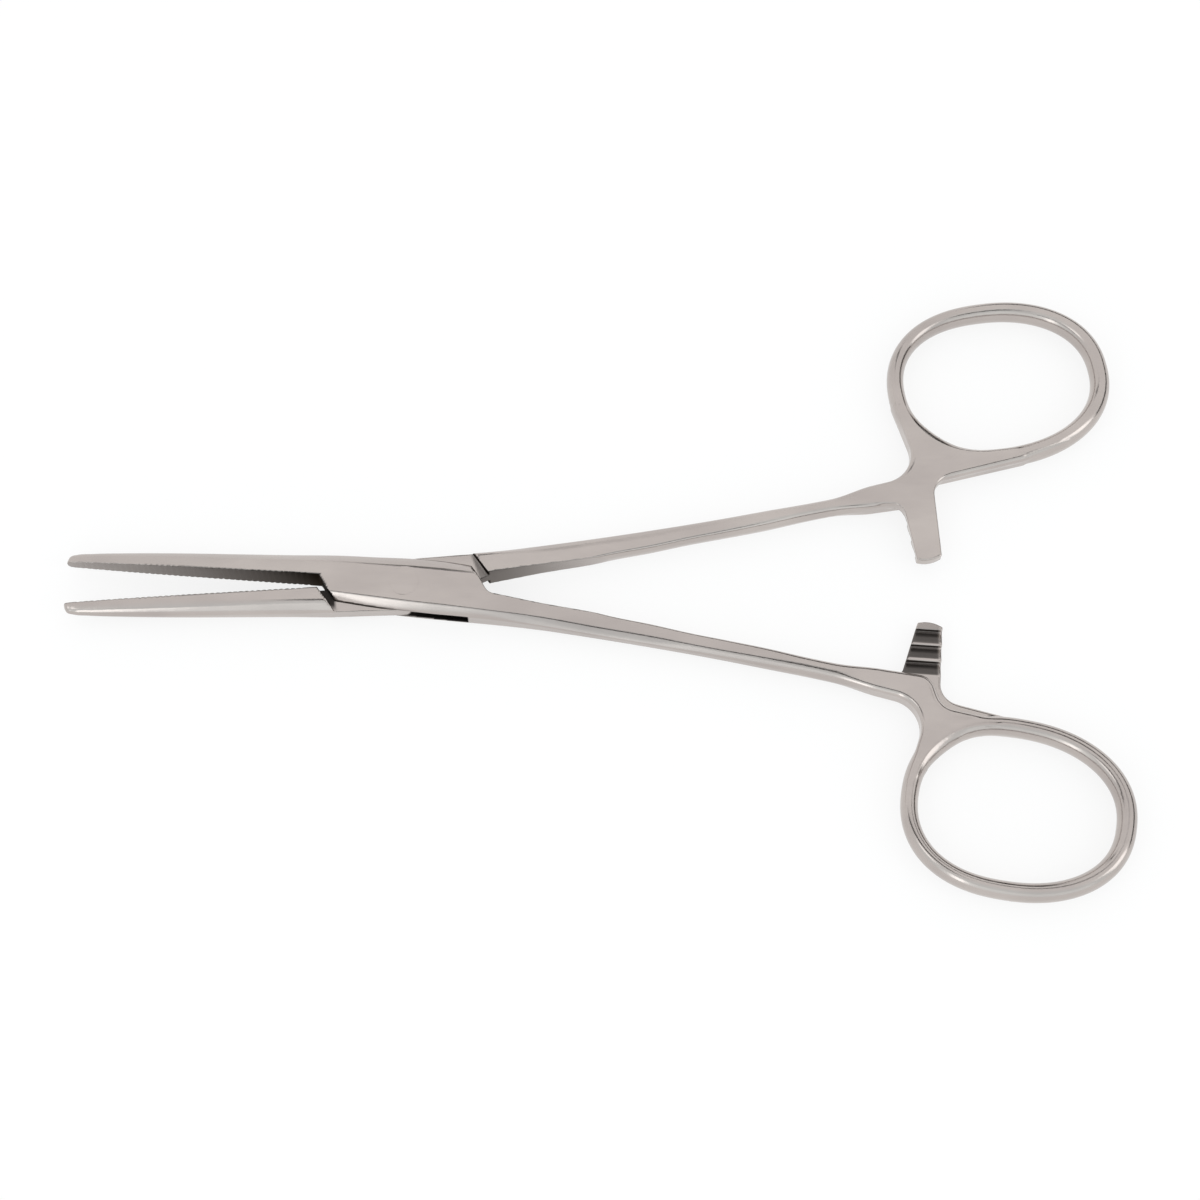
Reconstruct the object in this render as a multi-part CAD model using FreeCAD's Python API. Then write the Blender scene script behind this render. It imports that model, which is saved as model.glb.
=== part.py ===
import FreeCAD, Part
from FreeCAD import Vector
from math import cos, hypot, pi, radians, sin, tan
import os

os.makedirs("parts", exist_ok=True)

# Each half is drawn in the closed position, in a frame of its own: the pivot axis is Z through
# the origin, the tip points to -X, the finger ring to +X, the jaw lies above the X axis and the
# ring below it. The female half stays that way up. The male half is turned over about X.
# The lowest face of the box lock is at height 0.

# Overall sizes
box_thickness = 4.8
middle = box_thickness / 2
tip_x = -44.5
tip_gap = 0.03
jaw_root_x = -11.2
jaw_root_gap = 0.2
rest_half_angle = 3.6
open_angle = 60.0

# Pivot pin, with coned ends held in the cheeks
pin_radius = 1.5
pin_head_radius = 1.9
pin_head_depth = 0.45
pin_running_gap = 0.04

# Box lock: the tongue of the male half runs between two cheeks of the female half
tongue_half_height = 0.95
tongue_side_gap = 0.05
tongue_end_gap = 0.35
tongue_edge_y = 3.7
stop_margin_angle = 3.0
grinding_allowance = 0.03
cheek_end_lean = 57.0
left_shoulder_gap = 0.36
right_shoulder_gap = 0.95
slot_mouth_x = 7.5
slot_mouth_y = -4.4
slot_wall_setback = 0.8
heel_setback = 0.2
shank_root_x = 10.95
shank_root_y = -0.75
shank_crotch_radius = 1.5
male_box_slimmer = 0.2

# Jaw serrations, cut straight across the gripping face
groove_pitch = 0.75
groove_width = 0.52
groove_depth = 0.2
first_groove_x = tip_x + 1.3
groove_end_land = 1.2

# Handle end: web, ratchet bar and finger ring
web_half_height = 1.75
web_edge_radius = 0.85
rim_margin = 0.1
ring_half_height = 1.8
ring_width_near = 2.2
ring_width_far = 2.6
ring_centre = (80.26, -24.52)
male_ring_shift = (0.22, -0.12)
ring_half_length = 13.78
ring_half_breadth = 10.68
ring_tilt = -6.2
ring_squareness = 2.25
ring_taper = -0.055
ring_stations = 16
ring_flare = 0.6
ring_flare_turn = 145.0

# Ratchet: two bars, one on the back level and one on the front level, with teeth face to face
bar_gap = 0.1
bar_end_land = 1.1
bar_edge_radius = 0.3
bar_end_radius = 3.8
bar_left_x = 66.95
bar_middle_x = 68.6
bar_right_x = 70.22
bar_root_y = -7.2
female_bar_reach = 0.0
female_bar_root_x = 65.1
female_bar_root_radius = 1.0
male_bar_reach = 0.75
male_bar_root_x = 65.9
male_bar_root_radius = 1.8
tooth_count = 3
tooth_pitch = 2.18
tooth_depth = 0.72
tooth_floor = 0.34
tooth_crest = 0.3

# Cross-sections of the forging: an octagon with a flat front and back, bevels and two sides.
# Each row has the station, then the upper side, upper flat edge, lower flat edge and lower side,
# then the half thickness and the half height of the sides. In the jaw the lower half of the
# section is what the other jaw fills, and is cut away at the gripping face.
jaw_sections = [
    (tip_x, 0.75, 0.34, -0.34, -0.75, 0.60, 0.28),
    (tip_x + 0.35, 1.10, 0.55, -0.55, -1.10, 0.85, 0.34),
    (tip_x + 1.2, 1.40, 0.74, -0.74, -1.40, 1.00, 0.40),
    (tip_x + 3.2, 1.65, 0.90, -0.90, -1.65, 1.16, 0.46),
    (tip_x + 7.5, 2.00, 1.10, -1.10, -2.00, 1.45, 0.56),
    (tip_x + 14.5, 2.43, 1.35, -1.35, -2.43, 1.80, 0.70),
    (tip_x + 22.5, 2.80, 1.60, -1.55, -2.60, 2.06, 0.82),
    (tip_x + 29.5, 3.12, 1.85, -1.80, -2.68, 2.27, 0.90),
]
rough_half = middle + grinding_allowance
box_side_half = tongue_half_height + tongue_side_gap + 0.15
box_sections = [
    (-9.0, 3.37, 2.05, -2.10, -2.94, rough_half, box_side_half),
    (-4.0, 3.48, 2.04, -2.40, -3.43, rough_half, box_side_half),
    (1.0, 3.59, 2.00, -2.72, -3.75, rough_half, box_side_half),
    (6.0, 3.43, 1.87, -2.98, -3.93, rough_half, box_side_half),
    (11.0, 2.73, 1.60, -3.25, -4.06, rough_half - 0.15, box_side_half),
]
shank_sections = [
    (18.0, 0.10, -0.30, -3.45, -4.48, 1.70, 0.85),
    (25.0, -2.02, -2.30, -4.12, -5.16, 1.40, 0.66),
    (33.0, -3.22, -3.60, -4.99, -6.00, 1.34, 0.62),
    (37.5, -3.98, -4.36, -5.70, -6.52, 1.37, 0.63),
    (42.0, -4.59, -5.02, -6.32, -7.08, 1.44, 0.66),
    (47.5, -5.36, -5.88, -7.02, -7.85, 1.60, 0.70),
    (53.0, -6.25, -6.88, -7.80, -8.65, web_half_height, 0.75),
    (62.0, -7.40, -8.10, -9.30, -10.20, web_half_height, 0.80),
]

# Straight inner wall where the shank leaves the box, in plan
shank_wall = [(shank_root_x + 1.4, shank_root_y - 0.15), (18.0, -1.57), (25.0, -2.25), (30.0, -2.55)]

# Plan corners of the web and of the bar's foot, which lies inside the web: x, y and, where the
# corner is rounded, its radius
web_corners = [
    (58.0, -6.90), (68.7, -7.90, 2.4), (70.2, -11.9, 2.6), (78.0, -13.2),
    (78.0, -22.0), (65.9, -22.0), (68.7, -11.75, 4.2), (58.0, -9.60),
]
bar_foot = [
    (70.1, -10.4, 2.4), (83.0, -13.1), (83.0, -14.2), (69.4, -14.2), (66.0, -9.8), (60.5, -8.6),
    (60.5, bar_root_y + 0.05),
]

skin_degree = 2
reach = 8.0


def octagon(station):
    """Closed wire of one cross-section, standing across the length of the half."""
    x, upper, upper_flat, lower_flat, lower, half, side = station
    outline = [
        (upper, side), (upper_flat, half), (lower_flat, half), (lower, side),
        (lower, -side), (lower_flat, -half), (upper_flat, -half), (upper, -side),
    ]
    points = [Vector(x, y, middle + z) for y, z in outline]
    return Part.makePolygon(points + points[:1])


def rounded_wire(corners):
    """Closed plan wire through (x, y) or (x, y, radius), each radius a tangent arc."""
    edges = []
    starts = []
    ends = []
    middles = []
    count = len(corners)
    for index, corner in enumerate(corners):
        point = Vector(corner[0], corner[1], 0)
        if len(corner) == 2:
            starts.append(point)
            ends.append(point)
            middles.append(None)
            continue
        before = corners[index - 1]
        after = corners[(index + 1) % count]
        back = (Vector(before[0], before[1], 0) - point).normalize()
        ahead = (Vector(after[0], after[1], 0) - point).normalize()
        half_corner = back.getAngle(ahead) / 2
        setback = corner[2] / tan(half_corner)
        inward = (back + ahead).normalize()
        starts.append(point + back * setback)
        ends.append(point + ahead * setback)
        middles.append(point + inward * (corner[2] / sin(half_corner) - corner[2]))
    for index in range(count):
        if middles[index] is not None:
            edges.append(Part.Arc(starts[index], middles[index], ends[index]).toShape())
        following = starts[(index + 1) % count]
        if ends[index].distanceToPoint(following) > 1e-6:
            edges.append(Part.LineSegment(ends[index], following).toShape())
    return Part.Wire(edges)


def plate(corners, low, high):
    """Straight-sided solid with a rounded plan outline between two heights."""
    face = Part.Face(rounded_wire(corners))
    face.translate(Vector(0, 0, low))
    return face.extrude(Vector(0, 0, high - low))


def full_height(corners):
    """Cutting solid that passes right through the thickness."""
    return plate(corners, -reach, box_thickness + reach)


def along(point, angle, distance):
    """Plan point at a distance from another, in a direction given in degrees."""
    return (point[0] + distance * cos(radians(angle)), point[1] + distance * sin(radians(angle)))


def grip_line(x):
    """Height of the gripping face above the X axis, a hair at the tip and more at the root."""
    share = (x - tip_x) / (jaw_root_x - tip_x)
    return tip_gap + share * (jaw_root_gap - tip_gap)


def serrated_edge(shift):
    """Plan points of the gripping face from tip to root, with one notch for each groove."""
    points = [(tip_x - reach, grip_line(tip_x))]
    x = first_groove_x + shift
    while x + groove_width < jaw_root_x - groove_end_land:
        bottom = x + groove_width / 2
        points.append((x, grip_line(x)))
        points.append((bottom, grip_line(bottom) + groove_depth))
        points.append((x + groove_width, grip_line(x + groove_width)))
        x += groove_pitch
    points.append((jaw_root_x, jaw_root_gap))
    return points


def ring_point(turn):
    """Plan point of the ring's centre line: a slightly square, slightly egg-shaped ellipse."""
    c = cos(turn)
    s = sin(turn)
    power = 2 / ring_squareness
    along_ring = ring_half_length * (1 if c >= 0 else -1) * abs(c) ** power
    across_ring = ring_half_breadth * (1 if s >= 0 else -1) * abs(s) ** power * (1 + ring_taper * c)
    tilt = radians(ring_tilt)
    x = ring_centre[0] + along_ring * cos(tilt) - across_ring * sin(tilt)
    y = ring_centre[1] + along_ring * sin(tilt) + across_ring * cos(tilt)
    return Vector(x, y, middle)


def ring_normal(turn):
    """Outward direction across the ring at a turn."""
    step = 0.02
    tangent = ring_point(turn + step) - ring_point(turn - step)
    return Vector(tangent.y, -tangent.x, 0).normalize()


def finger_ring(shift):
    """Oval bar carried round the ring line, wider at the far end and flared towards the web."""
    sections = []
    for index in range(ring_stations):
        turn = 2 * pi * (index + 0.5) / ring_stations
        normal = ring_normal(turn)
        flare = ring_flare * max(0.0, cos(turn - radians(ring_flare_turn))) ** 12
        width = ring_width_near + (ring_width_far - ring_width_near) * (1 + cos(turn)) / 2 + flare
        centre = ring_point(turn) - normal * (flare / 2)
        top = centre + Vector(0, 0, ring_half_height)
        side = centre + normal * (width / 2)
        sections.append(Part.Wire(Part.Ellipse(top, side, centre).toShape()))
    ring = Part.makeLoft(sections, True, False, True)
    ring.translate(shift)
    return ring


def ring_hole(shift):
    """Everything inside the centre line of the ring, through the whole height."""
    points = [ring_point(2 * pi * index / ring_stations) for index in range(ring_stations)]
    curve = Part.BSplineCurve()
    curve.interpolate(Points=points, PeriodicFlag=True)
    face = Part.Face(Part.Wire(curve.toShape()))
    face.translate(shift - Vector(0, 0, reach))
    return face.extrude(Vector(0, 0, 2 * reach))


def handle_web(ring_shift):
    """Flat neck that joins the shank to the ring, with rounded upper and lower edges."""
    low = middle - web_half_height
    high = middle + web_half_height
    solid = plate(web_corners, low, high)
    start_x = web_corners[0][0] + rim_margin
    end_x, end_y = web_corners[4][0] - rim_margin, web_corners[4][1] + rim_margin
    rim = []
    for edge in solid.Edges:
        place = edge.CenterOfMass
        level = abs(abs(place.z - middle) - web_half_height) < 1e-6
        closing = place.x < start_x or place.x > end_x or place.y < end_y
        if level and not closing:
            rim.append(edge)
    return solid.makeFillet(web_edge_radius, rim).cut(ring_hole(ring_shift))


def ratchet_bar(bar_reach, root_x, root_radius):
    """Half-height bar on the back level, with ratchet teeth milled in its upper face."""
    low = middle - web_half_height
    high = middle - bar_gap / 2
    arm = [
        (root_x, bar_root_y, root_radius), (bar_left_x, bar_reach - 0.2, bar_edge_radius),
        (bar_middle_x, bar_reach + 0.1, bar_end_radius),
        (bar_right_x, bar_reach - 0.6, bar_edge_radius),
    ]
    bar = plate(bar_foot + arm, low, high)
    profile = []
    slope = tooth_pitch - tooth_floor - tooth_crest
    for index in range(tooth_count):
        start = bar_reach - bar_end_land - index * tooth_pitch
        profile.append((start, high + reach if index == 0 else high))
        profile.append((start, high - tooth_depth))
        profile.append((start - tooth_floor, high - tooth_depth))
        profile.append((start - tooth_floor - slope, high))
    profile.append((profile[-1][0], high + reach))
    points = [Vector(bar_middle_x - reach, y, z) for y, z in profile]
    teeth = Part.Face(Part.makePolygon(points + points[:1])).extrude(Vector(2 * reach, 0, 0))
    return bar.cut(teeth)


def forging(bar, slimmer, ring_shift):
    """One half before the lock is cut: jaw, box and shank in one skin, then web, ring and bar."""
    box = [(x, up, up_flat, low_flat, low + slimmer, half, side)
           for x, up, up_flat, low_flat, low, half, side in box_sections]
    stations = jaw_sections + box + shank_sections
    skin = Part.makeLoft([octagon(station) for station in stations], True, False, False, skin_degree)
    length = shank_sections[-1][0] - tip_x + 2 * reach
    ground = Part.makeBox(length, 4 * reach, box_thickness, Vector(tip_x - reach, -2 * reach, 0))
    skin = skin.common(ground)
    return skin.multiFuse([handle_web(ring_shift), finger_ring(ring_shift), bar])


def pin_solid(clearance=0.0):
    """Pin with a cone at each end, or the bore for it when a clearance is given."""
    radius = pin_radius + clearance
    head = pin_head_radius + clearance
    profile = [
        (0, 0), (head, 0), (radius, pin_head_depth), (radius, box_thickness - pin_head_depth),
        (head, box_thickness), (0, box_thickness),
    ]
    points = [Vector(r, 0, z) for r, z in profile]
    face = Part.Face(Part.makePolygon(points + points[:1]))
    return face.revolve(Vector(0, 0, 0), Vector(0, 0, 1), 360)


def slot_wall():
    """Two plan points of the wall that closes the slot towards the jaw, at its two ends."""
    stop_angle = radians(open_angle + stop_margin_angle)
    open_end = (-tongue_edge_y * tan(stop_angle / 2), tongue_edge_y)
    return (jaw_root_x + slot_wall_setback, jaw_root_gap), open_end


def extended(start, end, before, after):
    """The same line made longer at each end."""
    length = hypot(end[0] - start[0], end[1] - start[1])
    unit = ((end[0] - start[0]) / length, (end[1] - start[1]) / length)
    first = (start[0] - unit[0] * before, start[1] - unit[1] * before)
    last = (end[0] + unit[0] * after, end[1] + unit[1] * after)
    return first, last


def offset_line(start, end, distance):
    """The same line moved sideways, to the right of its direction."""
    length = hypot(end[0] - start[0], end[1] - start[1])
    side = ((end[1] - start[1]) / length, -(end[0] - start[0]) / length)
    return [(p[0] + side[0] * distance, p[1] + side[1] * distance) for p in (start, end)]


def female_half():
    """Half with the two cheeks: the slot runs between them from below the jaw to above the shank."""
    bar = ratchet_bar(female_bar_reach, female_bar_root_x, female_bar_root_radius)
    body = forging(bar, 0.0, Vector(0, 0, 0))
    jaw_side = serrated_edge(0.0)
    jaw_side.append(along(jaw_side[-1], -cheek_end_lean, reach))
    jaw_side.append((tip_x - reach, -reach))
    crotch = (shank_root_x, shank_root_y)
    shank_side = [
        along(crotch, 180 - cheek_end_lean, reach), (crotch[0], crotch[1], shank_crotch_radius),
    ] + shank_wall + [(shank_wall[-1][0], reach)]
    wall_low, wall_high = extended(*slot_wall(), reach / 2, reach / 2)
    mouth = (slot_mouth_x, slot_mouth_y)
    mouth_low, mouth_high = extended(mouth, crotch, reach / 2, reach / 2)
    slot = [
        wall_low, wall_high, (mouth_high[0], wall_high[1]), mouth_high, mouth_low,
        (wall_low[0], mouth_low[1]),
    ]
    slot_half = tongue_half_height + tongue_side_gap
    body = body.cut(full_height(jaw_side))
    body = body.cut(full_height(shank_side))
    body = body.cut(plate(slot, middle - slot_half, middle + slot_half))
    return body.cut(pin_solid())


def male_half():
    """Half with the tongue: recessed front and back between two shoulders that meet the cheeks."""
    bar = ratchet_bar(male_bar_reach, male_bar_root_x, male_bar_root_radius)
    body = forging(bar, male_box_slimmer, Vector(male_ring_shift[0], male_ring_shift[1], 0))
    wall_low, wall_high = slot_wall()
    mirrored = ((wall_low[0], -wall_low[1]), (wall_high[0], -wall_high[1]))
    edge = offset_line(mirrored[0], mirrored[1], -tongue_end_gap)
    edge_low, edge_high = extended(edge[0], edge[1], 0.0, reach / 2)
    jaw_side = serrated_edge(groove_pitch / 2)[:-1]
    slope = (edge_high[1] - edge_low[1]) / (edge_high[0] - edge_low[0])
    meet_x = edge_low[0] + (jaw_root_gap - edge_low[1]) / slope
    jaw_side.append((meet_x, jaw_root_gap))
    jaw_side.append(edge_high)
    jaw_side.append((tip_x - reach, edge_high[1]))
    crotch = (shank_root_x + heel_setback, shank_root_y)
    heel_low, heel_high = extended((0.0, tongue_edge_y), crotch, reach / 2, 0.0)
    shank_side = [heel_low, heel_high] + shank_wall + [(shank_wall[-1][0], reach)]
    body = body.cut(full_height(jaw_side))
    body = body.cut(full_height(shank_side))
    left = along((jaw_root_x - left_shoulder_gap, -jaw_root_gap), cheek_end_lean, -reach / 2)
    right = along((shank_root_x + right_shoulder_gap, -shank_root_y), cheek_end_lean, -reach)
    recess = [
        left, along(left, cheek_end_lean, 2 * reach), along(right, cheek_end_lean, 2 * reach), right,
    ]
    body = body.cut(plate(recess, middle + tongue_half_height, box_thickness + reach))
    body = body.cut(plate(recess, -reach, middle - tongue_half_height))
    bore = Part.makeCylinder(pin_radius + pin_running_gap, box_thickness, Vector(0, 0, 0))
    return body.cut(bore)


axis_x = Vector(1, 0, 0)
axis_z = Vector(0, 0, 1)
centre = Vector(0, 0, middle)

female = female_half()
female.rotate(centre, axis_z, -rest_half_angle)
male = male_half()
male.rotate(centre, axis_x, 180)
male.rotate(centre, axis_z, rest_half_angle)
pin = pin_solid()

for name, shape in (("female_half", female), ("male_half", male), ("pivot_pin", pin)):
    solid = shape.Solids[0] if len(shape.Solids) == 1 else shape
    solid.exportStep("parts/" + name + ".step")
    print(name, "solids", len(shape.Solids), "faces", len(shape.Faces), "volume", round(shape.Volume, 2),
          "valid", shape.isValid())
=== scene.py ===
"""Looks of a pair of straight, ring-handled hemostat forceps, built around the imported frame.

Lengths inside the shape functions are millimetres. Each half is worked out in the closed position,
in a frame of its own: the pivot axis is Z through the origin, the tip points to -X, the finger ring
to +X, the jaw lies above the X axis and the ring below it, and height 0 is the middle of the
thickness. The finished meshes are in metres, in the frame of the part.
"""

import math

import bpy
import numpy as np
from mathutils import Matrix, Vector


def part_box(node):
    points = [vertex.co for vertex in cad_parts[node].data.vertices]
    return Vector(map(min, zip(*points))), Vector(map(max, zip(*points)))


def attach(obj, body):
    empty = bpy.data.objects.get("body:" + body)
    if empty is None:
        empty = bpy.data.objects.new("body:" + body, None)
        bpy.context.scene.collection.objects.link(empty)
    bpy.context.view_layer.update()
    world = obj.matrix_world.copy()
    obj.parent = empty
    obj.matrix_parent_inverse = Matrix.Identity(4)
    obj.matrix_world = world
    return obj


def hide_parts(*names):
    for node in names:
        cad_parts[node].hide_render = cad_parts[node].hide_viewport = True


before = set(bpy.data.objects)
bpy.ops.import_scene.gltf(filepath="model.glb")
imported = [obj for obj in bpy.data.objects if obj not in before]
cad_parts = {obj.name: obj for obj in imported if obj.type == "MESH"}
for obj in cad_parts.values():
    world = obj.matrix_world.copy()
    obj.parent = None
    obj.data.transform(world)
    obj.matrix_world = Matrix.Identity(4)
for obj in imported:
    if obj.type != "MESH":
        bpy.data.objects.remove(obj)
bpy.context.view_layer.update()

bl_info = {
    "name": "Hemostat forceps",
    "version": (1, 0, 0),
    "blender": (4, 5, 0),
    "location": "3D View > Sidebar > Forceps",
    "description": "Builds the two forged halves, the pivot pin and the studio of forceps",
    "category": "Object",
}

MM = 0.001

# Taken from the frame
PIN_LOW, PIN_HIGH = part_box("pivot_pin")
THICKNESS = (PIN_HIGH.z - PIN_LOW.z) / MM
MIDDLE = THICKNESS / 2
PIN_HEAD_RADIUS = (PIN_HIGH.x - PIN_LOW.x) / 2 / MM

# Pivot pin
PIN_RADIUS = 1.5
PIN_HEAD_DEPTH = 0.45
PIN_SHARP_ANGLE = 40.0
BORE_EDGE = 0.01
RUNNING_GAP = 0.04

# Whole half
TIP_X = -44.5
TIP_SETBACK = 0.003
TIP_ROUNDING = 0.5
TIP_GAP = 0.03
JAW_ROOT_X = -11.2
JAW_ROOT_GAP = 0.2
REST_HALF_ANGLE = 3.6
OPEN_ANGLE = 60.0
# Way that the outlines of what is cut off go past the steel
REACH = 8.0

# Box lock
TONGUE_HALF_HEIGHT = 0.95
TONGUE_SIDE_GAP = 0.05
TONGUE_END_GAP = 0.35
TONGUE_EDGE_Y = 3.7
STOP_MARGIN_ANGLE = 3.0
CHEEK_END_LEAN = 57.0
FEMALE_END_LEAN = 54.0
LEFT_SHOULDER_GAP = 0.36
RIGHT_SHOULDER_GAP = 0.95
SLOT_WALL_INSET = 0.8
HEEL_INSET = 0.2
SLOT_MOUTH_X = 8.2
SLOT_MOUTH_Y = -4.4
SHANK_ROOT = (10.95, -0.75)
SHANK_CROTCH_RADIUS = 1.5
# Straight inner wall where the shank leaves the box, and where the cuts end
SHANK_WALL = [
    (SHANK_ROOT[0] + 1.4, SHANK_ROOT[1] - 0.15), (18.0, -1.57), (25.0, -2.25), (30.0, -2.55),
]
CUTS_END_X = 31.0
MALE_BOX_SLIMMER = 0.2
LOCK_EDGE = 0.10
MALE_EDGE_SOFTER = 0.8
BEVEL_CROWN = 0.04

# Jaw serrations
GROOVE_PITCH = 0.75
GROOVE_WIDTH = 0.52
GROOVE_DEPTH = 0.09
GROOVE_TIP_SHARE = 0.45
FIRST_GROOVE_X = TIP_X + 1.3
GROOVE_END_LAND = 1.2
GROOVE_EDGE = 0.04

# Handle end
WEB_HALF_HEIGHT = 1.75
WEB_EDGE_RADIUS = 0.85
RING_HALF_HEIGHT = 1.8
RING_WIDTH_NEAR = 2.2
RING_WIDTH_FAR = 2.56
RING_HALF_LENGTH = 13.78
RING_HALF_BREADTH = 10.68
RING_TILT = -6.2
RING_SQUARENESS = 2.25
RING_TAPER = -0.055
RING_FLARE = 0.6
RING_FLARE_TURN = 145.0
RING_FLARE_POWER = 12
RING_POINTS = 180
WEB_OVER_RING = 0.45
WEB_OVER_RING_EDGE = 0.1
WEB_RING_FILLET = 0.25
HANDLE_START = 56.0
HANDLE_FULL = 62.0
# Corners of the web in plan, as (x, y) or (x, y, radius)
WEB_UPPER_EDGE = [(50.0, -5.80), (58.0, -6.90, 20.0), (68.7, -7.90, 2.4)]
WEB_LOWER_EDGE = [
    (78.0, -22.0), (65.9, -22.0), (68.7, -11.75, 4.2), (58.0, -9.60, 30.0), (50.0, -8.20),
]

# Ratchet
BAR_TOP = -0.05
BAR_END_LAND = 1.1
BAR_EDGE = 0.30
BAR_RIM = 0.25
BAR_FOOT_RIM = 0.55
BAR_FOOT_RIM_X = (70.0, 73.0)
WEB_BAR_FILLET = 0.3
# Corners of the bar in plan: its shank side, its end as (x, way past its reach, radius), its foot
BAR_SHANK_SIDE = [(66.0, -9.8), (62.5, -8.9), (62.5, -7.75)]
BAR_END = [(66.95, -0.2, BAR_EDGE), (68.6, 0.1, 3.8), (70.22, -0.6, BAR_EDGE)]
BAR_FOOT = [(70.1, -10.4, 2.4), (83.0, -13.0, 12.0), (89.0, -15.4), (84.5, -14.9), (69.4, -14.2)]
TOOTH_COUNT = 3
TOOTH_PITCH = 2.18
TOOTH_DEPTH = 0.72
TOOTH_FLOOR = 0.34
TOOTH_CREST = 0.30
TOOTH_EDGE = 0.12
TEETH_X = 62.0

# Sections of the forging: station, upper side, upper flat edge, lower flat edge, lower side,
# half thickness, half height of the sides, rounding of the long edges
SECTIONS = np.array([
    (TIP_X, 0.75, 0.34, -0.34, -0.75, 0.60, 0.28, 0.25),
    (TIP_X + 0.35, 1.10, 0.55, -0.55, -1.10, 0.85, 0.34, 0.25),
    (TIP_X + 1.2, 1.40, 0.74, -0.74, -1.40, 1.00, 0.40, 0.25),
    (TIP_X + 3.2, 1.65, 0.90, -0.90, -1.65, 1.16, 0.46, 0.25),
    (TIP_X + 7.5, 2.00, 1.10, -1.10, -2.00, 1.45, 0.56, 0.25),
    (TIP_X + 14.5, 2.43, 1.35, -1.35, -2.43, 1.80, 0.70, 0.25),
    (TIP_X + 22.5, 2.80, 1.60, -1.55, -2.60, 2.06, 0.82, 0.22),
    (TIP_X + 29.5, 3.12, 1.85, -1.80, -2.68, 2.27, 0.90, 0.18),
    (-9.0, 3.37, 2.05, -2.10, -2.94, 2.40, 1.15, 0.14),
    (-4.0, 3.48, 2.04, -2.40, -3.43, 2.40, 1.15, 0.14),
    (1.0, 3.59, 2.00, -2.72, -3.75, 2.40, 1.15, 0.16),
    (6.0, 3.43, 1.87, -2.98, -3.93, 2.39, 1.15, 0.18),
    (11.0, 2.73, 1.60, -3.25, -4.06, 2.28, 1.15, 0.16),
    (18.0, 0.10, -0.30, -3.45, -4.48, 1.70, 0.85, 0.14),
    (25.0, -2.02, -2.30, -4.12, -5.16, 1.40, 0.66, 0.14),
    (33.0, -3.22, -3.60, -4.99, -6.00, 1.34, 0.62, 0.15),
    (37.5, -3.98, -4.36, -5.70, -6.52, 1.37, 0.63, 0.17),
    (42.0, -4.59, -5.02, -6.32, -7.08, 1.44, 0.66, 0.20),
    (47.5, -5.36, -5.88, -7.02, -7.85, 1.60, 0.70, 0.28),
    (53.0, -6.25, -6.88, -7.80, -8.65, 1.75, 0.75, 0.50),
    (62.0, -7.40, -8.10, -9.30, -10.20, 1.75, 0.80, 0.80),
])
BOX_ROWS = slice(8, 13)

# Each half: whether it has the cheeks, its share of the serration pitch, where its ring sits, the
# reach of its bar, the corner where the bar meets the shank, and the corners of the web's foot
HALVES = {
    "female_half": {
        "cheeks": True, "shift": 0.0, "ring": (80.26, -24.52), "bar_reach": 0.0,
        "bar_root": (65.1, -7.3, 1.0), "web_foot": [(70.2, -11.9, 2.6), (78.0, -13.2)],
    },
    "male_half": {
        "cheeks": False, "shift": 0.5, "ring": (80.48, -24.64), "bar_reach": 0.75,
        "bar_root": (65.9, -7.3, 1.8), "web_foot": [(70.2, -10.7, 2.6), (83.0, -13.1)],
    },
}

# Mesh grid: start, then the end of each stretch and the step in it. The steps are finest along the
# serrations and the ratchet teeth.
STEPS_X = [
    (-45.0, 0.0), (-13.6, 0.107), (13.0, 0.21), (56.0, 0.5), (64.0, 0.27), (71.0, 0.16),
    (96.4, 0.27),
]
STEPS_Y = [(-38.6, 0.0), (-12.2, 0.26), (-4.7, 0.16), (4.3, 0.142)]
STEPS_Z = [(-2.55, 0.0), (2.55, 0.15)]
# Distance between the samples that give a slope, and pull of a vertex to the mean of its crossings
SLOPE_STEP = 0.004
PULL_TO_MEAN = 0.04

# Stretches along the half that are worked out one by one, each with the span of y that holds steel
ZONES = [(-60.0, -14.0), (-14.0, 13.0), (13.0, CUTS_END_X), (CUTS_END_X, HANDLE_START),
         (HANDLE_START, HANDLE_FULL), (HANDLE_FULL, 100.0)]
ZONE_Y = [(-4.5, 4.5), (-5.2, 5.2), (-7.0, 2.0), (-10.5, -1.5), (-12.5, -4.0), (-38.7, 2.5)]

# Cut look with painted shade, from 0 on the polished skin to 1 on a face left as cut: a rougher
# finish, and a darker colour that paints the shade in the slot, the recesses, the grooves and
# between the teeth. A vertex within FACE_BAND of a cut belongs to its face, and one within
# SKIN_BAND of the flats doesn't.
FACE_BAND = 0.03
SKIN_BAND = 0.02
LOCK_END_X = 14.0
WINDOW_X = (-10.5, 4.0)
WINDOW_FADE_X = (-5.0, 4.0)
WINDOW_HALF_HEIGHT = 1.3
WINDOW_OVER_SIDE = 0.15
WINDOW_SHADE = 0.9
RECESS_FADE = 0.15
RECESS_TOP_FADE_Y = (2.2, 3.4)
TONGUE_END_SHADE = 0.6
WALL_SHADE = 0.65
WALL_X = 9.0
WALL_FADE_X = (10.0, 30.0)
LAND_CUT = 0.3
LAND_X = 66.0
TEETH_CUT_AND_SHADE = 0.75
TEETH_BAND = (-0.05, 0.12)
TEETH_FADE_X = (69.6, 70.0)
GRIP_TIP_SHADE = 0.25

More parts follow.
